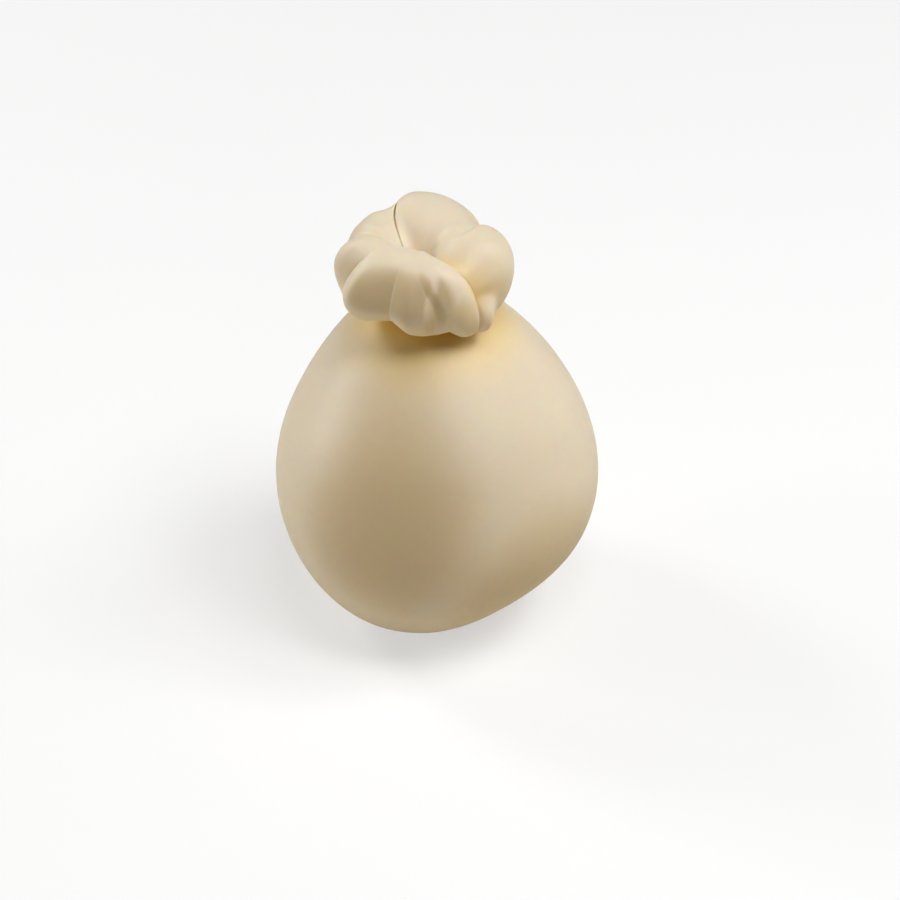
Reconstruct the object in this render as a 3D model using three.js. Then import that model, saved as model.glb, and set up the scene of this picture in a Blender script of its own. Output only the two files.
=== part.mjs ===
// A provola: a ball of stretched-curd cheese that is tied off at the top.
// The pear-shaped body rises to a narrow neck. Above the neck the curd is folded over
// into a thick, lobed ring round a small pit. The cheese is one solid.
//
// Millimetres, +Z up. The origin is the middle of the flat spot that the cheese rests on.
// Azimuths are degrees round +Z from +X. The front is -Y, at azimuth 270.

import * as THREE from 'three';
import { ParametricGeometry } from 'three/addons/geometries/ParametricGeometry.js';
import { mergeVertices } from 'three/addons/utils/BufferGeometryUtils.js';

const { clamp, degToRad, euclideanModulo, lerp, smoothstep } = THREE.MathUtils;

// Body
const BODY_RADIUS = 57.5;
const FOOT_RADIUS = 18; // the flat spot
const SHOULDER_RISE = 34.5; // how long the shoulder keeps to the belly's upright
const SHOULDER_RADIUS = 26.9; // where the shoulder heads before it meets the neck
const SHOULDER_HEIGHT = 67; // that place's height above the belly

// Head: a ring whose section is an ellipse, leaning back a little
const HEAD_HEIGHT = 88; // the ring's middle above the belly
const RING_RADIUS = 16.8;
const LOBE_WIDTH = 12.8; // half the section's width
const LOBE_HEIGHT = 15; // half the section's height
const NECK_ANGLE = -105; // where the neck joins the section, in degrees round it
const PIT_ANGLE = 174; // where the section ends in the pit
const PIT_RADIUS = 3;
const PIT_SHIFT = -1.7; // the pit's place along X in the ring
const PIT_SHIFT_SPAN = [0.55, 0.95]; // the stretch of w over which the surface follows it
const PIT_SLANT = 5; // how far the pit's bottom lies in front of its mouth
const PIT_SLANT_SPAN = [0.78, 1];
const HEAD_SHIFT = -3.3; // the head's place along X over the body
const HEAD_TILT = 4; // degrees
const LEAN_START = 30; // height above the belly where the shift and tilt begin

// Rows and columns of the surface
const COLUMNS = 120;
const FOOT_ROWS = 1;
const BODY_ROWS = 13;
const HEAD_ROWS = 28;
const SEAM = 15; // the azimuth of the first column
const BELLY_SHARE = 0.52; // the part of the body's rows that is below the belly

// A place on the head is an azimuth and a way w, from 0 at the neck, under the lobes, out
// and over them, to 1 in the pit.
// A fold runs from the azimuth `low`, under the lobes, to the azimuth `pit`. It draws the
// lobes in by `depth`. `width` says over how many degrees the lobes before and after it
// curve away, and `crisp` how: 0 is a soft valley and 1 is a lobe's round edge. `span` is
// the stretch of w that it marks, `twist` the stretch in which it swings from `low` to `pit`,
// and `fade` says how soon it fades at the ends of its span.
function fold(low, pit, depth, width, crisp, span, twist = [0.2, 0.9], fade = 0.12) {
  return { low, pit, depth, width, crisp, span, twist, fade };
}

// Between the right and back lobes
const RIGHT_AND_BACK = fold(30, -48, 1, [14, 9], [0.3, 0.2], [0.2, 1.02], [0.55, 0.95]);
const RIGHT_NOTCH = fold(30, -48, 4, [14, 24], [0.9, 0.2], [0.16, 0.6], [0.55, 0.95], 0.05);
const LOW_ON_BACK = fold(84, 80, 1.5, [12, 12], [0.3, 0.3], [0.05, 0.34]);
// Between the back and left lobes
const BACK_SLIT = fold(117, 183, 3.6, [3.5, 1.5], [1, 1], [0.6, 0.97], [0.6, 1], 0.05);
const LEFT_NOTCH = fold(117, 183, 3.8, [18, 26], [0.8, 0.5], [0.16, 0.64], [0.6, 1], 0.06);
// On the left
const LOW_ON_LEFT = fold(150, 170, 1.5, [16, 16], [0.3, 0.3], [0.05, 0.3]);
const LEFT_VALLEY = fold(171, 204, 1.8, [18, 20], [0.5, 0.1], [0.36, 0.76], [0.4, 1]);
const LEFT_AND_FRONT = fold(201, 222, 4, [26, 14], [0.1, 0.8], [0.28, 0.53]);
// Down the front lobe, and along its right edge
const FRONT_FIRST = fold(243, 249, 2.6, [30, 14], [0.2, 0.45], [0.05, 0.54]);
const FRONT_SECOND = fold(276, 262, 1.3, [24, 8], [0.2, 0.1], [0.2, 0.54], [0.35, 0.65]);
const FRONT_THIRD = fold(276, 283, 1.2, [8, 19], [0.1, 0.3], [0.2, 0.54], [0.42, 0.62]);
const FRONT_NOTCH = fold(288, 284, 2, [12, 12], [0.5, 0.5], [0.02, 0.26]);
const FRONT_EDGE = fold(309, 285, 5.4, [22, 44], [0.75, 0.35], [0.12, 0.92], [0.35, 1]);
const LOW_ON_RIGHT = fold(363, 294, 1.4, [16, 16], [0.3, 0.3], [0.05, 0.2], [0.35, 1]);

// The columns of the surface swing with the leading folds, which are in order round the head
const LEADING_FOLDS = [
  RIGHT_AND_BACK,
  LOW_ON_BACK,
  BACK_SLIT,
  LEFT_VALLEY,
  LEFT_AND_FRONT,
  FRONT_FIRST,
  FRONT_SECOND,
  FRONT_EDGE,
  LOW_ON_RIGHT,
];
const OTHER_FOLDS = [LOW_ON_LEFT, FRONT_THIRD, FRONT_NOTCH, RIGHT_NOTCH, LEFT_NOTCH];

// A swell thickens the head by `rise` round the place [azimuth, w], over `spread`
function swell(place, rise, spread) {
  return { place, rise, spread };
}

const SWELLS = [
  swell([217, 0.38], 3.8, [20, 0.16]), // left end of the front lobe
  swell([236, 0.18], -1.6, [16, 0.12]), // hollow under that end
  swell([296, 0.56], 1.2, [12, 0.14]), // rim of the front lobe
  swell([304, 0.17], 3.8, [12, 0.13]), // lower right end of the front lobe
  swell([316, 0.23], 6, [9, 0.12]), // small lobe tucked in beside it
  swell([317, 0.38], -1.2, [8, 0.05]), // crease over the small lobe
  swell([334, 0.2], 1.8, [14, 0.1]), // lower part of the right lobe
  swell([26, 0.54], -3.4, [16, 0.25]), // back of the right lobe, drawn down
  swell([44, 0.56], -1.4, [12, 0.11]), // right end of the back lobe
  swell([54, 0.58], -2.4, [22, 0.25]), // right of the back lobe
  swell([63, 0.84], 3, [60, 0.14]), // back lobe, filled towards the pit
  swell([110, 0.6], 0.5, [18, 0.25]), // left of the back lobe
  swell([130, 0.6], -1, [10, 0.12]), // beside the slit
  swell([150, 0.58], -2, [24, 0.3]), // between the back and the left lobes
  swell([190, 0.47], 2.3, [13, 0.17]), // middle of the left lobe
  swell([200, 0.24], 1.6, [16, 0.1]), // lower part of the left lobe
  swell([190, 0.83], -2, [24, 0.08]), // left of the pit, sunk
];
const SWELL_START = 0.12; // swells begin this far from the neck

// A bump raises the body by `rise` round a direction from the belly, over `spread` degrees
function bump(direction, rise, spread) {
  return { direction: new THREE.Vector3(...direction).normalize(), rise, spread };
}

const BUMPS = [
  bump([0.5, -0.53, -0.68], -3.2, 29), // flatter low at the right
  bump([-0.39, -0.57, -0.72], 2.2, 32), // fuller low at the left
  bump([0.45, 0.85, 0.1], -1.6, 30), // flatter at the back
  bump([0.58, -0.32, 0.75], -0.5, 9), // faint dent in the right shoulder
];
const BUMP_START = 0.15; // the part of the body's rows over which bumps set in above the foot

// Heights and curves that follow from the sizes
const BELLY_HEIGHT = Math.sqrt(BODY_RADIUS ** 2 - FOOT_RADIUS ** 2);
const RING_HEIGHT = BELLY_HEIGHT + HEAD_HEIGHT;
const ROWS = FOOT_ROWS + BODY_ROWS + HEAD_ROWS;
const LAST_HEAD_ROW = 1 - 1 / HEAD_ROWS; // inside it the pit's floor closes
const NECK = ringSection(degToRad(NECK_ANGLE), 1);
const PIT_FLOOR = new THREE.Vector2(0, ringSection(degToRad(PIT_ANGLE), 1).y);
const SHOULDER = new THREE.CubicBezierCurve(
  new THREE.Vector2(BODY_RADIUS, BELLY_HEIGHT),
  new THREE.Vector2(BODY_RADIUS, BELLY_HEIGHT + SHOULDER_RISE),
  new THREE.Vector2(SHOULDER_RADIUS, BELLY_HEIGHT + SHOULDER_HEIGHT),
  NECK,
);

// A point of the ring's section, as a radius and a height. The side towards the pit is as
// wide as the pit leaves it.
function ringSection(angle, thickness) {
  const reach = angle > Math.PI / 2 ? RING_RADIUS - PIT_RADIUS : LOBE_WIDTH;
  const radius = RING_RADIUS + reach * thickness * Math.cos(angle);
  return new THREE.Vector2(radius, RING_HEIGHT + LOBE_HEIGHT * thickness * Math.sin(angle));
}

// The body's section: an arc from the foot to the belly, then the shoulder's curve
function bodySection(along) {
  if (along > BELLY_SHARE) {
    return SHOULDER.getPoint((along - BELLY_SHARE) / (1 - BELLY_SHARE));
  }
  const angle = lerp(Math.asin(FOOT_RADIUS / BODY_RADIUS), Math.PI / 2, along / BELLY_SHARE);
  const height = BELLY_HEIGHT - BODY_RADIUS * Math.cos(angle);
  return new THREE.Vector2(BODY_RADIUS * Math.sin(angle), height);
}

// The signed way round from one azimuth to another
function turnBetween(from, to) {
  return euclideanModulo(to - from + 180, 360) - 180;
}

function bell(distance, spread) {
  return Math.exp(-((distance / spread) ** 2));
}

// How far a fold has turned from its azimuth under the lobes
function foldSwing(line, w) {
  return (line.pit - line.low) * smoothstep(w, ...line.twist);
}

// The same fold, a whole turn further round
function turnedBy(line, degrees) {
  return { ...line, low: line.low + degrees, pit: line.pit + degrees };
}

// A column that starts between two folds swings with both of them, so that the surface's
// edges run along the folds
function columnAzimuth(u, w) {
  const start = SEAM + 360 * u;
  const lap = [turnedBy(LOW_ON_RIGHT, -360), ...LEADING_FOLDS, turnedBy(RIGHT_AND_BACK, 360)];
  const after = lap.findIndex((line) => line.low > start);
  const [last, next] = [lap[after - 1], lap[after]];
  const share = (start - last.low) / (next.low - last.low);
  return start + lerp(foldSwing(last, w), foldSwing(next, w), share);
}

function foldDepth(line, azimuth, w) {
  const away = turnBetween(line.low + foldSwing(line, w), azimuth);
  const side = away < 0 ? 0 : 1;
  const x = Math.min(Math.abs(away) / line.width[side], 1);
  const round = 1 - Math.sqrt(1 - (1 - x) ** 2);
  const soft = (1 - x * x) ** 2;
  const [from, to] = line.span;
  const begins = smoothstep(w, from - line.fade, from + line.fade);
  const ends = smoothstep(w, to - line.fade, to + line.fade);
  return line.depth * lerp(soft, round, line.crisp[side]) * begins * (1 - ends);
}

function swellRise(one, azimuth, w) {
  const round = bell(turnBetween(one.place[0], azimuth), one.spread[0]);
  return one.rise * round * bell(w - one.place[1], one.spread[1]);
}

// The head's thickness at a place, where 1 is the plain ring
function headThickness(azimuth, w) {
  let rise = 0;
  for (const one of SWELLS) {
    rise += swellRise(one, azimuth, w) * smoothstep(w, 0, SWELL_START);
  }
  for (const line of [...LEADING_FOLDS, ...OTHER_FOLDS]) {
    rise -= foldDepth(line, azimuth, w);
  }
  return 1 + rise / LOBE_HEIGHT;
}

// The bumps move a point of the body straight out from the middle of the belly
function applyBumps(point, strength) {
  const middle = new THREE.Vector3(0, 0, BELLY_HEIGHT);
  const arm = point.clone().sub(middle);
  const out = arm.clone().normalize();
  let rise = 0;
  for (const { direction, rise: height, spread } of BUMPS) {
    const off = (1 - out.dot(direction)) / (1 - Math.cos(degToRad(spread)));
    rise += height * Math.exp(-off);
  }
  point.addScaledVector(out, rise * strength);
  point.z = Math.max(point.z, 0);
}

// The head sits a little to one side and leans back; the shoulder follows it gradually
function applyLean(point) {
  const share = smoothstep(point.z, BELLY_HEIGHT + LEAN_START, RING_HEIGHT);
  const leaning = new THREE.Vector3(point.x + HEAD_SHIFT, point.y, point.z - RING_HEIGHT);
  leaning.applyAxisAngle(new THREE.Vector3(1, 0, 0), degToRad(HEAD_TILT));
  leaning.z += RING_HEIGHT;
  point.lerp(leaning, share);
}

// The whole surface: u goes once round, v goes up from the foot's middle to the pit's floor
function cheeseSurface(u, v, point) {
  const row = v * ROWS;
  const along = clamp((row - FOOT_ROWS) / BODY_ROWS, 0, 1);
  const w = clamp((row - FOOT_ROWS - BODY_ROWS) / HEAD_ROWS, 0, 1);
  const azimuth = columnAzimuth(u % 1, w);
  const onHead = w > 0;
  let section = bodySection(along);
  section.x *= clamp(row / FOOT_ROWS, 0, 1);
  if (onHead) {
    const angle = lerp(NECK_ANGLE, PIT_ANGLE, Math.min(w / LAST_HEAD_ROW, 1));
    section = ringSection(degToRad(angle), headThickness(azimuth, w));
    section.lerp(PIT_FLOOR, Math.max(1 - (1 - w) * HEAD_ROWS, 0));
  }
  const [x, y] = [Math.cos(degToRad(azimuth)), Math.sin(degToRad(azimuth))];
  point.set(section.x * x, section.x * y, section.y);
  if (!onHead) {
    applyBumps(point, smoothstep(along, 0, BUMP_START));
  }
  point.x += PIT_SHIFT * smoothstep(w, ...PIT_SHIFT_SPAN);
  point.y -= PIT_SLANT * smoothstep(w, ...PIT_SLANT_SPAN);
  applyLean(point);
}

// Joins the surface's two side edges and its poles, and drops the triangles that have no
// area there
function closeSurface(surface) {
  surface.deleteAttribute('normal');
  surface.deleteAttribute('uv');
  const closed = mergeVertices(surface);
  const corners = closed.getIndex().array;
  const kept = [];
  for (let i = 0; i < corners.length; i += 3) {
    const [a, b, c] = corners.slice(i, i + 3);
    if (a !== b && b !== c && c !== a) {
      kept.push(a, b, c);
    }
  }
  closed.setIndex(kept);
  closed.computeVertexNormals();
  return closed;
}

function makeProvola() {
  const geometry = closeSurface(new ParametricGeometry(cheeseSurface, COLUMNS, ROWS));
  const curd = new THREE.MeshStandardMaterial({ color: 0xe4d5b7, roughness: 0.5, metalness: 0 });
  const provola = new THREE.Mesh(geometry, curd);
  provola.name = 'provola';
  return provola;
}

const cheese = new THREE.Group();
cheese.add(makeProvola());

export default cheese;
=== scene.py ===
# %% [markdown]
# # A provola, cell by cell
#
# A provola is a ball of stretched-curd cheese. Its maker closes the ball at the top by folding
# the hot curd over itself, so a smooth, pear-shaped body ends in a narrow neck and a thick,
# lobed head with a small pit in it. The solid model of the cheese is loaded first and fixes the
# frame: metres, +Z up, the front towards -Y, and the origin in the middle of the flat spot that
# the cheese rests on. Everything after that dresses the solid and stays inside its box.

# %% Load the solid model
import math

import bmesh
import bpy
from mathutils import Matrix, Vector


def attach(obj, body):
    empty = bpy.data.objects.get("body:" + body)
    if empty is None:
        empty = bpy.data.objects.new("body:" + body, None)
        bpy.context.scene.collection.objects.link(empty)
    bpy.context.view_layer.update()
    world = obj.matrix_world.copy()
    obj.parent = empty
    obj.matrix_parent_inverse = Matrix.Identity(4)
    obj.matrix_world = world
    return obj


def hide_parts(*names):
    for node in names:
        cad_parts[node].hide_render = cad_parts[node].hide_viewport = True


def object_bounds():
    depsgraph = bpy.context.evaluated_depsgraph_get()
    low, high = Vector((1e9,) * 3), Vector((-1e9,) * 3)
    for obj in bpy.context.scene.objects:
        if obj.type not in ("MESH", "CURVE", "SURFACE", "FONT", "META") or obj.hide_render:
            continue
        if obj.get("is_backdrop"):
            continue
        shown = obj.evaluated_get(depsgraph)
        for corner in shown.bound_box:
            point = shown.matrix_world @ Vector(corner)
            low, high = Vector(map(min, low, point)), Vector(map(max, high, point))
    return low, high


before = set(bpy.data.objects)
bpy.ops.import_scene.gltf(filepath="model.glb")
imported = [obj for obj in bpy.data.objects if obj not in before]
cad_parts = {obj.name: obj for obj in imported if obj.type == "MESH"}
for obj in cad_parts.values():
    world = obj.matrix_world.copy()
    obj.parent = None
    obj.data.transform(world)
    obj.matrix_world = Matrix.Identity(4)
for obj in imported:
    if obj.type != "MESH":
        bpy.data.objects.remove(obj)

MM = 0.001
cad_box = [list(corner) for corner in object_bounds()]
print("solid model's box in metres:", cad_box)

# %% [markdown]
# ## Arithmetic with nodes
#
# Node trees work out both the shape and the finish here. Long formulas are hard to read as
# hand-made Math nodes, so a small class wraps a node's socket and gives it Python's
# arithmetic: `1 - mask` adds the Math node and its link. Every other node comes from the
# method `make`, which takes the node's type, its settings and its sockets.

# %% A socket that understands arithmetic
class Field:
    """An output socket of a node. Arithmetic on it adds Math nodes to its tree."""

    def __init__(self, tree, socket):
        self.tree = tree
        self.socket = socket

    @classmethod
    def make(cls, tree, kind, settings, sockets, output=0):
        """Adds a node: its settings first, then its sockets' values or links."""
        node = tree.nodes.new(kind)
        for name, value in settings.items():
            setattr(node, name, value)
        for name, value in sockets.items():
            if isinstance(value, Field):
                tree.links.new(value.socket, node.inputs[name])
            else:
                node.inputs[name].default_value = value
        return cls(tree, node.outputs[output]) if len(node.outputs) else None

    def math(self, operation, *terms):
        settings = {"operation": operation}
        return Field.make(self.tree, "ShaderNodeMath", settings, dict(enumerate(terms)))

    def __add__(self, other):
        return self.math("ADD", self, other)

    def __radd__(self, other):
        return self.math("ADD", other, self)

    def __sub__(self, other):
        return self.math("SUBTRACT", self, other)

    def __rsub__(self, other):
        return self.math("SUBTRACT", other, self)

    def __mul__(self, other):
        return self.math("MULTIPLY", self, other)

    def __rmul__(self, other):
        return self.math("MULTIPLY", other, self)

    def __truediv__(self, other):
        return self.math("DIVIDE", self, other)

    def __rtruediv__(self, other):
        return self.math("DIVIDE", other, self)

    def __gt__(self, other):
        return self.math("GREATER_THAN", self, other)

    def __abs__(self):
        return self.math("ABSOLUTE", self)


trial_tree = bpy.data.node_groups.new("trial", "GeometryNodeTree")
trial = 1 - Field.make(trial_tree, "ShaderNodeValue", {}, {})
print("1 - value adds a Math node set to", trial.socket.node.operation)
bpy.data.node_groups.remove(trial_tree)

# %% Formulas on fields
def clamp(x):
    return Field.make(x.tree, "ShaderNodeClamp", {}, {"Value": x})


def ease(x, start, end):
    """0 up to `start`, 1 from `end` on, and a smooth step between them."""
    sockets = {"Value": x, "From Min": start, "From Max": end}
    return Field.make(x.tree, "ShaderNodeMapRange", {"interpolation_type": "SMOOTHSTEP"}, sockets)


def blend(a, b, share):
    return a + (b - a) * share


def bell(x):
    """A smooth hill, 1 high at 0 and nearly gone beyond 2."""
    return x.math("EXPONENT", 0 - x * x)


def cosine(angle):
    return angle.math("COSINE", angle)


def sine(angle):
    return angle.math("SINE", angle)


def radians(angle):
    return angle.math("RADIANS", angle)


def vector(x, y, z):
    return Field.make(x.tree, "ShaderNodeCombineXYZ", {}, {"X": x, "Y": y, "Z": z})


print("formulas ready: clamp, ease, blend, bell, cosine, sine, radians, vector")

# %% [markdown]
# ## The camera
#
# The camera looks down on the cheese, as one looks at food on a counter. It is made first, so
# that every later step can be judged in the same picture. A long lens some way off keeps the
# round body round. The camera aims a little beside the middle of the belly, because the cheese
# stands a little left of and below the middle of the picture.

# %% Set the camera
BODY_RADIUS = 57.5 * MM
FOOT_RADIUS = 18.0 * MM
BELLY_HEIGHT = math.sqrt(BODY_RADIUS**2 - FOOT_RADIUS**2)
CAMERA_ELEVATION = math.radians(38.0)
CAMERA_DISTANCE = 894 * MM
CAMERA_LENS = 100.0
PICTURE_SIDE = 900
BELLY_PIXEL = (437, 470)


def aim(thing, target):
    """Turns a camera or a light so that it looks at a point."""
    thing.rotation_euler = (Vector(target) - thing.location).to_track_quat("-Z", "Y").to_euler()


def add_camera():
    data = bpy.data.cameras.new("camera")
    data.lens = CAMERA_LENS
    camera = bpy.data.objects.new("camera", data)
    bpy.context.scene.collection.objects.link(camera)
    back = Vector((0, -math.cos(CAMERA_ELEVATION), math.sin(CAMERA_ELEVATION)))
    up = Vector((0, math.sin(CAMERA_ELEVATION), math.cos(CAMERA_ELEVATION)))
    belly = Vector((0, 0, BELLY_HEIGHT))
    camera.location = belly + back * CAMERA_DISTANCE
    pixel = CAMERA_DISTANCE * data.sensor_width / CAMERA_LENS / PICTURE_SIDE
    right_by = (PICTURE_SIDE / 2 - BELLY_PIXEL[0]) * pixel
    up_by = (BELLY_PIXEL[1] - PICTURE_SIDE / 2) * pixel
    aim(camera, belly + Vector((right_by, 0, 0)) + up * up_by)
    bpy.context.scene.camera = camera
    return camera


camera = add_camera()
print("camera at", [round(x, 3) for x in camera.location])

# %% [markdown]
# ## The cheese's surface as one rule
#
# Body, neck and head are one piece of curd, and one rule can draw them. A flat grid is rolled
# up: its columns go round the cheese and its rows climb from the foot over the belly and the
# shoulder to the neck, out under the lobes of the head, over them and down into the pit. It
# could be sculpted by hand, but a rule is exact, repeats, and can be changed by its sizes, so
# the grid is shaped by Geometry Nodes.
#
# First come the sizes, which become the tree's named inputs. A place on the head is an azimuth
# in degrees, with 270 at the front, and a way w from 0 at the neck to 1 in the pit.

# %% Sizes of the cheese
SIZES = {
    "Body radius": BODY_RADIUS,
    "Foot radius": FOOT_RADIUS,
    "Shoulder rise": 34.5 * MM,
    "Shoulder radius": 26.9 * MM,
    "Shoulder height": 67.0 * MM,
    "Head height": 88.0 * MM,
    "Ring radius": 16.8 * MM,
    "Lobe width": 12.8 * MM,
    "Lobe height": 15.0 * MM,
    "Pit radius": 3.0 * MM,
    "Pit shift": -1.7 * MM,
    "Pit slant": 5.0 * MM,
    "Head shift": -3.3 * MM,
    "Head tilt": math.radians(4.0),
}
COLUMNS = 360
FOOT_ROWS = 3
BODY_ROWS = 96
HEAD_ROWS = 158
ROWS = FOOT_ROWS + BODY_ROWS + HEAD_ROWS
print("grid of", COLUMNS, "columns and", ROWS, "rows")

# %% Start the tree
def start_tree():
    """A new tree with the sizes as named inputs, and those inputs as fields."""
    tree = bpy.data.node_groups.new("provola", "GeometryNodeTree")
    face = tree.interface
    for name, value in SIZES.items():
        socket = face.new_socket(name=name, in_out="INPUT", socket_type="NodeSocketFloat")
        socket.default_value = value
    face.new_socket(name="Curd", in_out="INPUT", socket_type="NodeSocketMaterial")
    face.new_socket(name="Cheese", in_out="OUTPUT", socket_type="NodeSocketGeometry")
    names = [*SIZES, "Curd"]
    return tree, {name: Field.make(tree, "NodeGroupInput", {}, {}, output=name) for name in names}


provola_tree, size = start_tree()
print("inputs:", ", ".join(size))

# %% [markdown]
# ## Folds, swells and bumps
#
# The head was folded while the curd was hot, so its lobes meet in creases. A crease is crisp
# where one lobe's round edge lies over the next, and soft where the curd only sank. Each fold
# has its azimuth under the lobes and at the pit, its depth, and the width and crispness of the
# lobe on either side. Its span is the part of the way w that it marks, and its twist the part
# in which it swings round. Swells thicken or thin a part of the head, and bumps do the same to
# the body, which a soft cheese gets from its own weight and from hands.

# %% Describe the folds
class Fold:
    """A crease of the head, from an azimuth under the lobes to another at the pit."""

    def __init__(self, low, pit, depth, width, crisp, span, twist=(0.2, 0.9), fade=0.12):
        self.low = low
        self.pit = pit
        self.depth = depth * MM
        self.width = width
        self.crisp = crisp
        self.span = span
        self.twist = twist
        self.fade = fade


RIGHT_AND_BACK = Fold(30, -48, 1.2, (12, 30), (0.8, 0.0), (0.20, 1.02), (0.55, 0.95))
LOW_ON_BACK = Fold(84, 80, 1.5, (12, 12), (0.3, 0.3), (0.05, 0.34))
BACK_SLIT = Fold(117, 183, 3.6, (3.5, 1.5), (1.0, 1.0), (0.60, 0.97), (0.6, 1.0), 0.05)
LEFT_VALLEY = Fold(171, 204, 1.8, (18, 20), (0.5, 0.1), (0.36, 0.76), (0.4, 1.0))
LEFT_AND_FRONT = Fold(201, 222, 4.6, (20, 14), (0.45, 1.0), (0.28, 0.53))
FRONT_FIRST = Fold(243, 249, 2.6, (30, 14), (0.2, 0.45), (0.05, 0.54))
FRONT_SECOND = Fold(276, 262, 1.3, (24, 8), (0.2, 0.1), (0.20, 0.54), (0.35, 0.65))
FRONT_EDGE = Fold(309, 285, 5.4, (22, 44), (0.75, 0.35), (0.12, 0.92), (0.35, 1.0))
LOW_ON_RIGHT = Fold(363, 294, 1.4, (16, 16), (0.3, 0.3), (0.05, 0.20), (0.35, 1.0))
LEADING_FOLDS = [RIGHT_AND_BACK, LOW_ON_BACK, BACK_SLIT, LEFT_VALLEY, LEFT_AND_FRONT,
                 FRONT_FIRST, FRONT_SECOND, FRONT_EDGE, LOW_ON_RIGHT]
LOW_ON_LEFT = Fold(150, 170, 1.5, (16, 16), (0.3, 0.3), (0.05, 0.30))
FRONT_THIRD = Fold(276, 283, 1.2, (8, 19), (0.1, 0.3), (0.20, 0.54), (0.42, 0.62))
FRONT_NOTCH = Fold(288, 284, 2.0, (12, 12), (0.5, 0.5), (0.02, 0.26))
RIGHT_NOTCH = Fold(30, -48, 4.0, (14, 24), (0.9, 0.2), (0.16, 0.60), (0.55, 0.95), 0.05)
LEFT_NOTCH = Fold(117, 183, 3.8, (18, 26), (0.8, 0.5), (0.16, 0.64), (0.6, 1.0), 0.06)
FOLDS = LEADING_FOLDS + [LOW_ON_LEFT, FRONT_THIRD, FRONT_NOTCH, RIGHT_NOTCH, LEFT_NOTCH]
print(len(FOLDS), "folds, the deepest", max(fold.depth for fold in FOLDS) / MM, "mm")

# %% Describe the swells and bumps
# place on the head (azimuth, w), rise in mm, spread (degrees, w)
SWELLS = [
    ((217, 0.38), 3.8, (20, 0.16)),  # left end of the front lobe
    ((236, 0.18), -1.6, (16, 0.12)),  # hollow under that end
    ((304, 0.17), 3.8, (12, 0.13)),  # lower right end of the front lobe
    ((316, 0.23), 6.0, (9, 0.12)),  # small lobe tucked in beside it
    ((317, 0.38), -1.2, (8, 0.05)),  # crease over the small lobe
    ((334, 0.20), 1.8, (14, 0.10)),  # lower part of the right lobe
    ((200, 0.24), 1.6, (16, 0.10)),  # lower part of the left lobe
    ((190, 0.47), 2.3, (13, 0.17)),  # middle of the left lobe
    ((130, 0.60), -1.0, (10, 0.12)),  # beside the slit
    ((44, 0.56), -1.4, (12, 0.11)),  # right end of the back lobe
    ((296, 0.56), 1.2, (12, 0.14)),  # rim of the front lobe
    ((190, 0.83), -2.0, (24, 0.08)),  # left of the pit, sunk
    ((26, 0.54), -3.4, (16, 0.25)),  # back of the right lobe, drawn down
    ((54, 0.58), -2.4, (22, 0.25)),  # right of the back lobe
    ((110, 0.60), 0.5, (18, 0.25)),  # left of the back lobe
    ((150, 0.58), -2.0, (24, 0.30)),  # lobe between the back and the left
    ((63, 0.84), 3.0, (60, 0.14)),  # back lobe, filled towards the pit
]
# direction from the belly, rise in mm, spread in degrees
BUMPS = [
    ((0.50, -0.53, -0.68), -3.2, 29),  # flatter low at the right
    ((-0.39, -0.57, -0.72), 2.2, 32),  # fuller low at the left
    ((0.45, 0.85, 0.10), -1.6, 30),  # flatter at the back
    ((0.58, -0.32, 0.75), -0.5, 9),  # faint dent in the right shoulder
]
print(len(SWELLS), "swells,", len(BUMPS), "bumps")

# %% [markdown]
# ## Rows and columns
#
# The columns are not straight on the head: each swings round with the folds on either side of
# it, so that the mesh's edges run along the creases and keep them sharp. Straight columns would
# cut across the creases and leave teeth in them. The grid's own x and y, taken from its
# position before it is shaped, say which column and row a point is in.

# %% Read a point's column and row
SEAM = 15


def column_and_row(tree):
    """A grid point's share of the way round, and its row."""
    place = Field.make(tree, "GeometryNodeInputPosition", {}, {})
    u = Field.make(tree, "ShaderNodeSeparateXYZ", {}, {"Vector": place}, output="X") + 0.5
    v = Field.make(tree, "ShaderNodeSeparateXYZ", {}, {"Vector": place}, output="Y") + 0.5
    return u, v * ROWS


def fold_swing(fold, w):
    """How far a fold has turned from its azimuth under the lobes, in degrees."""
    return (fold.pit - fold.low) * ease(w, *fold.twist)


def column_azimuth(u, w):
    """The azimuth of a column, which swings with the folds next to it."""
    start = SEAM + 360 * u
    first, last = LEADING_FOLDS[0], LEADING_FOLDS[-1]
    lows = [last.low - 360] + [fold.low for fold in LEADING_FOLDS] + [first.low + 360]
    swings = [fold_swing(fold, w) for fold in LEADING_FOLDS]
    swings = [swings[-1]] + swings + [swings[0]]
    swing = swings[0]
    for k in range(len(lows) - 1):
        share = clamp((start - lows[k]) / (lows[k + 1] - lows[k]))
        swing = swing + (swings[k + 1] - swings[k]) * share
    return start + swing


u, row = column_and_row(provola_tree)
along = clamp((row - FOOT_ROWS) / BODY_ROWS)
w = clamp((row - FOOT_ROWS - BODY_ROWS) / HEAD_ROWS)
on_head = w > 0.0
azimuth = column_azimuth(u, w)
turned = radians(azimuth)
round_x, round_y = cosine(turned), sine(turned)
print(len(provola_tree.nodes), "nodes lay out the columns and rows")

# %% [markdown]
# ## The head's thickness
#
# The head is a ring with an elliptical section. Folds pull that section in and swells push it
# out. A fold could be cut with a thin blade shape, but then each lobe's round edge would be
# lost, so its depth is a formula: a quarter circle on a crisp side and a soft valley on the
# other. The sum of the folds is kept, because the finish needs to know how deep in a crease a
# point lies.

# %% Work out folds and swells
SWELL_START = 0.12


def turn_from(azimuth, other):
    """The turn from another azimuth, between -180 and 180 degrees."""
    away = azimuth - other
    return away.math("WRAP", away, 180.0, -180.0)


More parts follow.
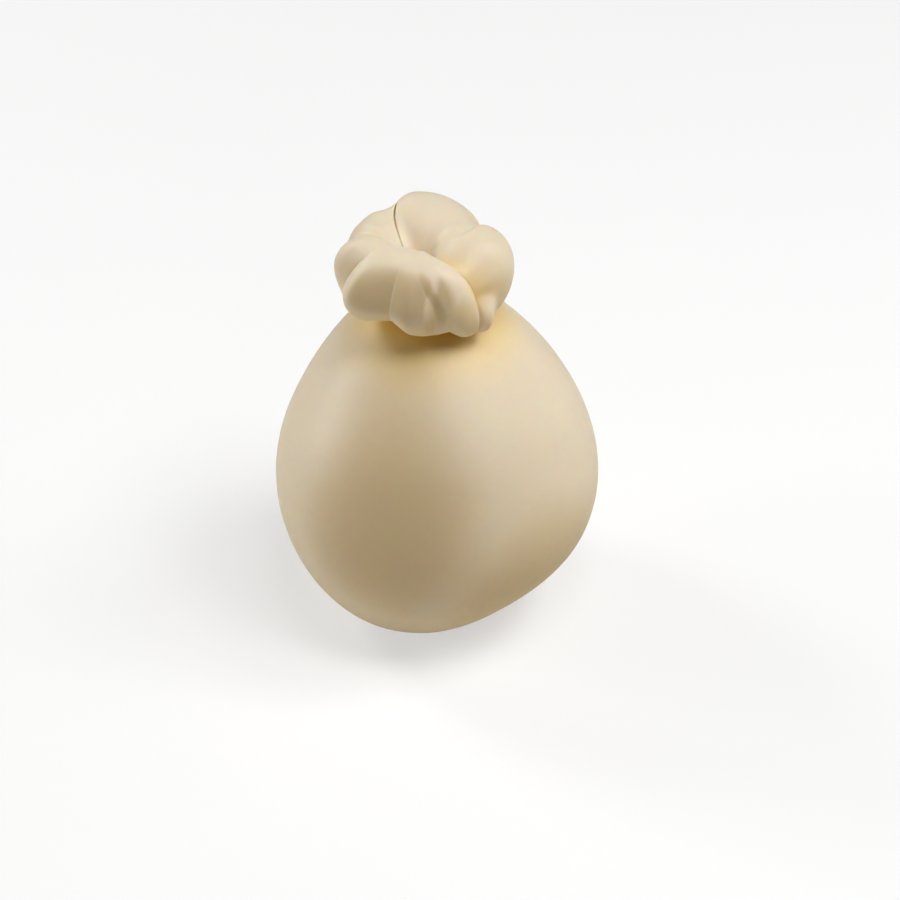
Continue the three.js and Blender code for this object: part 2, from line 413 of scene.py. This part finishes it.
def fold_depth(fold, azimuth, w):
    away = turn_from(azimuth, fold.low + fold_swing(fold, w))
    after = away > 0.0
    x = clamp(abs(away) / blend(fold.width[0], fold.width[1], after))
    gap = 1 - x
    inside = 1 - gap * gap
    edge = 1 - inside.math("SQRT", inside)
    valley = 1 - x * x
    crisp = blend(fold.crisp[0], fold.crisp[1], after)
    begins = ease(w, fold.span[0] - fold.fade, fold.span[0] + fold.fade)
    ends = ease(w, fold.span[1] - fold.fade, fold.span[1] + fold.fade)
    return fold.depth * blend(valley * valley, edge, crisp) * begins * (1 - ends)


def all_folds(azimuth, w):
    total = 0
    for fold in FOLDS:
        total = total + fold_depth(fold, azimuth, w)
    return total


def all_swells(azimuth, w):
    total = 0
    for (middle, height), rise, (wide, high) in SWELLS:
        hill = bell(turn_from(azimuth, middle) / wide) * bell((w - height) / high)
        total = total + rise * MM * hill
    return total * ease(w, 0.0, SWELL_START)


folds = all_folds(azimuth, w)
swells = all_swells(azimuth, w)
print(len(provola_tree.nodes), "nodes with the folds and swells")

# %% [markdown]
# ## Grain of the curd
#
# Stretched curd is never quite even. It keeps faint strands from the stretching, which run
# along the lobes, and the ball has shallow unevenness from hands. Both are tiny, so two noises
# move the surface by fractions of a millimetre: drawn-out noise on the head, and a broad one on
# the body. They are in the mesh, not only in the finish, because the outline shows them.

# %% Work out the strands
STRAND_DEPTH = 0.08 * MM
STRANDS_ROUND = 3.2
STRANDS_ALONG = 1.3
STRANDS_SCALE = 2.0
STRANDS_END = (0.6, 0.8)
NOISE_DETAIL = 2.0


def noise(place, scale, detail):
    """Noise between about -0.5 and 0.5."""
    sockets = {"Vector": place, "Scale": scale, "Detail": detail, "Roughness": 0.5}
    return Field.make(place.tree, "ShaderNodeTexNoise", {"noise_dimensions": "3D"}, sockets) - 0.5


def strands(round_x, round_y, w):
    """Noise that is drawn out along the way from the neck to the pit."""
    place = vector(round_x * STRANDS_ROUND, round_y * STRANDS_ROUND, w * STRANDS_ALONG)
    return noise(place, STRANDS_SCALE, NOISE_DETAIL) * 2 * STRAND_DEPTH


grain = strands(round_x, round_y, w) * ease(w, 0.0, SWELL_START) * (1 - ease(w, *STRANDS_END))
print("strands up to", STRAND_DEPTH / MM, "mm deep")

# %% [markdown]
# ## Sections of the head and the body
#
# The body's section is an arc from the foot to the belly, and then a curve with four control
# points, as a drawing program draws it, over the shoulder to the neck. The neck is a point of
# the ring's own section, so the two meet without a gap. Two separate shapes could be joined
# instead, but the join would show.

# %% Work out the head's section
NECK_ANGLE = math.radians(-105.0)
PIT_ANGLE = math.radians(174.0)


def ring_section(size, angle, thickness):
    inner = angle > math.pi / 2
    reach = blend(size["Lobe width"], size["Ring radius"] - size["Pit radius"], inner)
    radius = size["Ring radius"] + reach * thickness * cosine(angle)
    ring_height = BELLY_HEIGHT + size["Head height"]
    return radius, ring_height + size["Lobe height"] * thickness * sine(angle)


def head_section(size, w, thickness):
    """The ring's section, closed at the bottom of the pit by its last row."""
    angle = blend(NECK_ANGLE, PIT_ANGLE, clamp(w / (1 - 1 / HEAD_ROWS)))
    radius, height = ring_section(size, angle, thickness)
    closing = clamp((1 - w) * HEAD_ROWS)
    pit_height = BELLY_HEIGHT + size["Head height"] + size["Lobe height"] * math.sin(PIT_ANGLE)
    return radius * closing, blend(pit_height, height, closing)


thickness = 1 + (swells - folds + grain) / size["Lobe height"]
head_radius, head_height = head_section(size, w, thickness)
print(len(provola_tree.nodes), "nodes with the head's section")

# %% Work out the body's section
BELLY_SHARE = 0.52


def body_section(size, along):
    radius = size["Body radius"]
    low = radius.math("ARCSINE", size["Foot radius"] / radius)
    angle = blend(low, math.pi / 2, clamp(along / BELLY_SHARE))
    t = clamp((along - BELLY_SHARE) / (1 - BELLY_SHARE))
    s = 1 - t
    neck_radius = size["Ring radius"] + size["Lobe width"] * math.cos(NECK_ANGLE)
    neck_rise = size["Head height"] + size["Lobe height"] * math.sin(NECK_ANGLE)
    first = s * s * (s + 3 * t)
    second = 3 * s * s * t
    third = 3 * s * t * t
    fourth = t * t * t
    over = radius * first + size["Shoulder radius"] * third + neck_radius * fourth
    rise = second * size["Shoulder rise"] + third * size["Shoulder height"] + fourth * neck_rise
    upper = along > BELLY_SHARE
    section_radius = blend(radius * sine(angle), over, upper)
    return section_radius, BELLY_HEIGHT + blend(0 - radius * cosine(angle), rise, upper)


body_radius, body_height = body_section(size, along)
body_radius = body_radius * clamp(row / FOOT_ROWS)
radius = blend(body_radius, head_radius, on_head)
height = blend(body_height, head_height, on_head)
print(len(provola_tree.nodes), "nodes with the body's section")

# %% [markdown]
# ## From sections to places
#
# The section is turned round to give each point its place. Bumps and unevenness then move the
# body out from or in towards the middle of the belly. The pit sits a little left of the head's
# middle and slants towards the front, and the whole head leans, because a soft neck never holds
# it quite upright. These are small moves of finished points, so they come last.

# %% Roll up the grid
BODY_UNEVEN = 0.30 * MM
BODY_UNEVEN_SCALE = 26.0
BODY_UNEVEN_END = (0.9, 1.0)
BUMP_START = 0.15


def body_bumps(x, y, h):
    """How far the bumps move a point out from the middle of the belly, and its distance."""
    squares = x * x + y * y + h * h
    distance = squares.math("SQRT", squares)
    total = 0
    for direction, rise, spread in BUMPS:
        toward = Vector(direction).normalized()
        facing = (x * toward.x + y * toward.y + h * toward.z) / distance
        off = (facing - 1) / (1 - math.cos(math.radians(spread)))
        total = total + rise * MM * off.math("EXPONENT", off)
    return total, distance


x, y, h = radius * round_x, radius * round_y, height - BELLY_HEIGHT
rise, distance = body_bumps(x, y, h)
uneven = noise(vector(x, y, h), BODY_UNEVEN_SCALE, NOISE_DETAIL) * 2 * BODY_UNEVEN
rise = rise + uneven * (1 - ease(along, *BODY_UNEVEN_END))
grow = 1 + rise * ease(along, 0.0, BUMP_START) * (1 - on_head) / distance
x, y, z = x * grow, y * grow, BELLY_HEIGHT + h * grow
z = z.math("MAXIMUM", z, 0.0)
print("unevenness up to", BODY_UNEVEN / MM, "mm")

# %% Set the pit aside and lean the head
PIT_SHIFT_SPAN = (0.55, 0.95)
PIT_SLANT_SPAN = (0.78, 1.0)
LEAN_START = 30 * MM


def lean(size, x, y, z):
    """Shifts the neck and the head to the left and tilts the head forward."""
    ring_height = BELLY_HEIGHT + size["Head height"]
    share = ease(z, BELLY_HEIGHT + LEAN_START, ring_height)
    tilt_cos, tilt_sin = cosine(size["Head tilt"]), sine(size["Head tilt"])
    over = z - ring_height
    leaning_y = y * tilt_cos - over * tilt_sin
    leaning_z = ring_height + y * tilt_sin + over * tilt_cos
    leaning_x = x + size["Head shift"] * share
    return vector(leaning_x, blend(y, leaning_y, share), blend(z, leaning_z, share))


x = x + size["Pit shift"] * ease(w, *PIT_SHIFT_SPAN)
y = y - size["Pit slant"] * ease(w, *PIT_SLANT_SPAN)
point = lean(size, x, y, z)
print(len(provola_tree.nodes), "nodes give each point its place")

# %% [markdown]
# ## Marks for the finish
#
# The finish isn't the same all over, and it has to know where a point is. So the points carry
# five numbers: how deep in a crease a point is (`fold`), how close to the neck, whether it is on
# the slit at the back of the head (`slit`), whether it is on the side towards the pit (`inner`),
# and how much it faces one of the two sides that the lamps leave darker. The finish uses them
# for painted shade: darker, yellower colour in creases, round the neck under the head, in the
# slit and on those two sides. They could be painted by hand, but the rule already knows them.

# %% Work out the marks
FOLD_FULL = 5 * MM
# where the painted shade round the neck, under the head, begins on the body and ends on the head
TUCK_ON_BODY = 0.80
TUCK_ON_HEAD = 0.20
INNER_SPAN = (0.58, 0.72)
SLIT_WIDTH = 0.35 * MM
SLIT_BEGINS = (0.58, 0.70)
SLIT_ENDS = (0.94, 0.99)
# direction of a side that the lamps leave darker, painted golden, and the cosines where it sets in
GOLDEN_SIDES = [
    ((-0.30, -0.92, 0.25), (0.75, 1.0)),  # front, a little to the left
    ((0.62, -0.72, -0.30), (0.76, 1.03)),  # low at the right
]


# the finish paints a dark shadow along this line
def slit_line(azimuth, w, radius):
    """1 on the line of the slit at the back, and 0 a little way off."""
    away = turn_from(azimuth, BACK_SLIT.low + fold_swing(BACK_SLIT, w))
    line = bell(radians(away) * radius / SLIT_WIDTH)
    return line * ease(w, *SLIT_BEGINS) * (1 - ease(w, *SLIT_ENDS))


def golden_side(tree):
    """How much a point of the finished shape faces one of the two sides that get painted shade."""
    normal = Field.make(tree, "GeometryNodeInputNormal", {}, {})
    inner = Field.make(tree, "GeometryNodeInputNamedAttribute", {"data_type": "FLOAT"},
                       {"Name": "inner"}, output="Attribute")
    total = 0
    for side, span in GOLDEN_SIDES:
        facing = Field.make(tree, "ShaderNodeVectorMath", {"operation": "DOT_PRODUCT"},
                            {0: normal, 1: side}, output="Value")
        total = total + ease(facing, *span)
    return clamp(total * (1 - inner))


tuck_on_body = (along - TUCK_ON_BODY) / (1 - TUCK_ON_BODY)
marks = {
    # how deep in a crease; the finish paints shade in creases by it
    "fold": clamp((folds - swells.math("MAXIMUM", swells, 0.0)) / FOLD_FULL),
    # how close to the neck; the finish paints shade under the head by it
    "tuck": clamp(blend(tuck_on_body, 1 - w / TUCK_ON_HEAD, on_head)),
    # the finish paints a dark shadow along the slit by it
    "slit": slit_line(azimuth, w, head_radius),
    # keeps the painted side shade off the side towards the pit
    "inner": ease(w, *INNER_SPAN),
}
print("marks:", ", ".join(marks), "and golden")

# %% [markdown]
# ## Put the rule together
#
# The flat grid gets its marks, and then each point moves to its place. The grid's two side
# edges and its poles are merged, so that the skin is closed. The mark for the painted side shade
# is stored last, because it needs to know which way the finished skin faces. The tree ends by
# realizing the mesh and giving it the curd's finish.

# %% Build the mesh in the tree
MERGE_DISTANCE = 0.001 * MM


def store(tree, mesh, name, value):
    return Field.make(tree, "GeometryNodeStoreNamedAttribute",
                      {"data_type": "FLOAT", "domain": "POINT"},
                      {"Geometry": mesh, "Name": name, "Value": value})


def build_mesh(tree):
    grid = {"Size X": 1.0, "Size Y": 1.0, "Vertices X": COLUMNS + 1, "Vertices Y": ROWS + 1}
    mesh = Field.make(tree, "GeometryNodeMeshGrid", {}, grid)
    for name, value in marks.items():
        mesh = store(tree, mesh, name, value)
    for kind, sockets in [
        ("GeometryNodeSetPosition", {"Position": point}),
        ("GeometryNodeMergeByDistance", {"Distance": MERGE_DISTANCE}),
        ("GeometryNodeSetShadeSmooth", {}),
    ]:
        mesh = Field.make(tree, kind, {}, {"Geometry": mesh, **sockets})
    # painted shade: how much the finished skin faces a side that the lamps leave darker
    mesh = store(tree, mesh, "golden", golden_side(tree))
    mesh = Field.make(tree, "GeometryNodeRealizeInstances", {}, {"Geometry": mesh})
    dress = {"Geometry": mesh, "Material": size["Curd"]}
    mesh = Field.make(tree, "GeometryNodeSetMaterial", {}, dress)
    Field.make(tree, "NodeGroupOutput", {}, {"Cheese": mesh})


build_mesh(provola_tree)
print("tree of", len(provola_tree.nodes), "nodes")

# %% [markdown]
# ## The curd's finish
#
# The skin of a fresh provola is ivory, smooth and a little moist. Light enters it and comes out
# again nearby, so it has subsurface scattering, which softens the shading. A faint mottling
# keeps the ivory from being one flat colour. The rest of the colour is painted shade: a darker
# gold on the two sides that the lamps leave in shade, honey to straw-yellow in the creases and
# round the neck under the head, where light bounces from curd to curd and little of it reaches,
# and a dark line of painted shadow in the slit. Roughness varies a little as well, and a fine
# bump gives the sheen its grain. A painted picture could do this too, but noise and the marks
# fit the shape from every side.

# %% Colours and shares of the curd
IVORY = (0.80, 0.695, 0.525)
CREAM = (0.83, 0.725, 0.555)
# painted shade on the two sides that the lamps leave darker
GOLDEN = (0.685, 0.55, 0.335)
# painted shade, honey to straw-yellow, round the neck under the head and in creases
HONEY = (0.85, 0.69, 0.32)
STRAW = (0.74, 0.44, 0.01)
# painted shadow: a dark line in the slit at the back of the head
DEEP = (0.30, 0.19, 0.05)
MOTTLING_SCALE = 45.0
MOTTLING_CONTRAST = 2.2
SKIN_DETAIL = 3.0
# shares of painted shade: honey and straw in creases and at the neck, a dark line in the slit
HONEY_IN_FOLDS = 0.5
STRAW_IN_FOLDS = 0.35
STRAW_AT_NECK = 1.1
DEEP_IN_SLIT = 0.85
# the Mix node's sockets for colours
MIX_SHARE, MIX_FIRST, MIX_SECOND, MIX_COLOUR = 0, 6, 7, 2


def mix_colour(tree, first, second, share):
    if not isinstance(first, Field):
        first = (*first, 1.0)
    sockets = {MIX_SHARE: share, MIX_FIRST: first, MIX_SECOND: (*second, 1.0)}
    return Field.make(tree, "ShaderNodeMix", {"data_type": "RGBA"}, sockets, output=MIX_COLOUR)


def read_mark(tree, name):
    return Field.make(tree, "ShaderNodeAttribute", {"attribute_name": name}, {}, output="Fac")


def curd_colour(tree, place):
    tuck, fold = read_mark(tree, "tuck"), read_mark(tree, "fold")
    # painted shade in creases grows with the square of the crease depth
    deep_fold = fold * fold
    mottling = clamp(noise(place, MOTTLING_SCALE, SKIN_DETAIL) * MOTTLING_CONTRAST + 0.5)
    colour = mix_colour(tree, IVORY, CREAM, mottling)
    # painted shade: golden on the two sides that the lamps leave darker
    colour = mix_colour(tree, colour, GOLDEN, read_mark(tree, "golden"))
    # painted shade: honey round the neck under the head and in deep creases
    colour = mix_colour(tree, colour, HONEY, clamp(tuck + deep_fold * HONEY_IN_FOLDS))
    # painted shade: straw-yellow closest to the neck and in the deepest creases
    straw = clamp(deep_fold * STRAW_IN_FOLDS + tuck * tuck * STRAW_AT_NECK)
    colour = mix_colour(tree, colour, STRAW, straw)
    # painted shadow: a dark line along the slit
    return mix_colour(tree, colour, DEEP, read_mark(tree, "slit") * DEEP_IN_SLIT)


print("colours from ivory", IVORY, "to straw", STRAW)

# %% Mix the curd
ROUGHNESS = 0.50
ROUGHNESS_SPREAD = 0.16
ROUGHNESS_SCALE = 160.0
SHEEN_GRAIN_SCALE = 900.0
SHEEN_GRAIN_DETAIL = 4.0
SHEEN_GRAIN = {"Strength": 0.08, "Distance": 0.3 * MM}
MOIST_SKIN = {
    "Subsurface Weight": 1.0,
    "Subsurface Radius": (1.0, 0.6, 0.25),
    "Subsurface Scale": 2.5 * MM,
    "Specular IOR Level": 0.5,
    "Coat Weight": 0.25,
    "Coat Roughness": 0.5,
}


def new_material(name):
    material = bpy.data.materials.new(name)
    material.use_nodes = True
    material.node_tree.nodes.clear()
    return material


def add_surface(tree, sockets):
    """Adds the surface shader with its values and links, and the material's output."""
    shader = Field.make(tree, "ShaderNodeBsdfPrincipled", {}, sockets)
    Field.make(tree, "ShaderNodeOutputMaterial", {}, {"Surface": shader})


def make_curd():
    material = new_material("curd")
    tree = material.node_tree
    place = Field.make(tree, "ShaderNodeTexCoord", {}, {}, output="Object")
    rough = ROUGHNESS + noise(place, ROUGHNESS_SCALE, SKIN_DETAIL) * ROUGHNESS_SPREAD
    fine = noise(place, SHEEN_GRAIN_SCALE, SHEEN_GRAIN_DETAIL)
    bump = Field.make(tree, "ShaderNodeBump", {}, {**SHEEN_GRAIN, "Height": fine}, output="Normal")
    colour = curd_colour(tree, place)
    add_surface(tree, {"Base Color": colour, "Roughness": rough, "Normal": bump, **MOIST_SKIN})
    return material


curd = make_curd()
print("curd has", len(curd.node_tree.nodes), "nodes")

# %% [markdown]
# ## Make the cheese
#
# The tree becomes a modifier on an empty mesh. Its inputs are set by their identifiers before
# the object is first evaluated. The evaluated result is copied to a plain mesh, so nothing is
# left to be worked out later, and the modifier is removed. Then the cheese takes the place of
# the solid's plain piece on the frame.

# %% Grow the mesh and hang it on the frame
LITRES = 1000


def make_cheese():
    cheese = bpy.data.objects.new("provola_curd", bpy.data.meshes.new("provola_curd"))
    bpy.context.scene.collection.objects.link(cheese)
    modifier = cheese.modifiers.new("provola", "NODES")
    modifier.node_group = provola_tree
    for item in provola_tree.interface.items_tree:
        if item.in_out == "INPUT":
            modifier[item.identifier] = curd if item.name == "Curd" else SIZES[item.name]
    evaluated = cheese.evaluated_get(bpy.context.evaluated_depsgraph_get())
    mesh = bpy.data.meshes.new_from_object(evaluated)
    cheese.modifiers.remove(modifier)
    cheese.data = mesh
    return cheese


def inspect(piece):
    """Counts a piece's triangles and open edges, and measures the volume it holds in litres."""
    shape = bmesh.new()
    shape.from_mesh(piece.data)
    open_edges = sum(not edge.is_manifold for edge in shape.edges)
    triangles = sum(len(face.verts) - 2 for face in shape.faces)
    litres = shape.calc_volume(signed=True) * LITRES
    shape.free()
    return triangles, open_edges, round(litres, 3)


cheese = make_cheese()
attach(cheese, "root")
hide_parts("provola")
print("cheese: triangles, open edges and litres are", inspect(cheese))

# %% [markdown]
# ## Floor and light
#
# Food is often photographed on white in a bright tent: soft light comes from above, behind and
# both sides, and the side towards the camera stays a little darker, which shows the round form.
# One white floor would do, but it would also throw too cold and too strong a light back up at
# the belly. So there are two level discs. The floor is nearly white and only the camera sees
# it. A cream card just beneath it, which the camera doesn't see, throws light back at the
# cheese. Large, soft, neutral lamps make the tent, and a dim, warm surround fills it.

# %% Lay the floor and the card
FLOOR_RADIUS = 8.0
FLOOR_GREY = (0.45, 0.45, 0.45)
FLOOR_GLOW = 0.53
CARD_CREAM = (0.68, 0.62, 0.50)
CARD_HEIGHT = -1 * MM
DISC_CORNERS = 96
DULL = 0.9
WHITE = (1.0, 1.0, 1.0, 1.0)
CLOUD_SCALE = 6.0
CLOUD_LIFT = 1.03


def make_disc(name, height, colour, glow):
    """A large, level disc with a dull, faintly clouded surface."""
    material = new_material(name)
    tree = material.node_tree
    place = Field.make(tree, "ShaderNodeTexCoord", {}, {}, output="Object")
    cloudy = clamp(noise(place, CLOUD_SCALE, NOISE_DETAIL) + 0.5)
    pale = mix_colour(tree, colour, [CLOUD_LIFT * part for part in colour], cloudy)
    glowing = {"Emission Color": WHITE, "Emission Strength": glow}
    add_surface(tree, {"Base Color": pale, "Roughness": DULL, **glowing})
    shape = bmesh.new()
    bmesh.ops.create_circle(shape, cap_ends=True, segments=DISC_CORNERS, radius=FLOOR_RADIUS)
    mesh = bpy.data.meshes.new(name)
    shape.to_mesh(mesh)
    shape.free()
    mesh.materials.append(material)
    disc = bpy.data.objects.new(name, mesh)
    disc.location.z = height
    bpy.context.scene.collection.objects.link(disc)
    disc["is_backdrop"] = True
    return disc


floor = make_disc("floor", 0.0, FLOOR_GREY, FLOOR_GLOW)
floor.visible_diffuse = False
floor.visible_glossy = False
floor.visible_shadow = False
card = make_disc("card", CARD_HEIGHT, CARD_CREAM, 0.0)
card.visible_camera = False
print("floor and card with a radius of", FLOOR_RADIUS, "m")

# %% Hang the lamps
# name: azimuth and elevation in degrees, power in watts
LAMPS = {
    "lamp_over": (290, 72, 5.0),
    "lamp_front_right_high": (324, 58, 7.0),
    "lamp_right_high": (0, 58, 6.0),
    "lamp_right": (0, 35, 2.0),
    "lamp_left": (147, 35, 6.4),
    "lamp_left_low": (178, 10, 6.6),
    "lamp_right_low": (30, 10, 1.5),
    "lamp_front": (285, 30, 0.8),
}
LAMP_DISTANCE = 1.5
LAMP_DIAMETER = 0.5
LAMP_TARGET = (0, 0, 80 * MM)
SURROUND = {"Color": (1.0, 0.86, 0.64, 1.0), "Strength": 0.01}


def add_lamp(name, azimuth, elevation, power):
    data = bpy.data.lights.new(name, "AREA")
    data.shape = "DISK"
    data.size = LAMP_DIAMETER
    data.energy = power
    lamp = bpy.data.objects.new(name, data)
    turn, lift = math.radians(azimuth), math.radians(elevation)
    level = Vector((math.cos(turn), math.sin(turn), 0))
    toward = level * math.cos(lift) + Vector((0, 0, math.sin(lift)))
    lamp.location = Vector(LAMP_TARGET) + toward * LAMP_DISTANCE
    lamp.visible_camera = False
    bpy.context.scene.collection.objects.link(lamp)
    aim(lamp, LAMP_TARGET)


def set_surround():
    world = bpy.data.worlds.new("surround")
    world.use_nodes = True
    world.node_tree.nodes.clear()
    glow = Field.make(world.node_tree, "ShaderNodeBackground", {}, SURROUND)
    Field.make(world.node_tree, "ShaderNodeOutputWorld", {}, {"Surface": glow})
    bpy.context.scene.world = world


for lamp_name, lamp_values in LAMPS.items():
    add_lamp(lamp_name, *lamp_values)
set_surround()
bpy.context.scene.view_settings.view_transform = "Standard"
print(len(LAMPS), "lamps,", sum(power for _, _, power in LAMPS.values()), "watts in all")

# %% [markdown]
# ## Measure and finish
#
# The dressed cheese must stay the size of the solid, so both boxes are printed: the solid's at
# the start and the dressed one here.

# %% Measure the dressed box
visual_box = [list(corner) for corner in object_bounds()]
print("dressed box in metres:", visual_box)
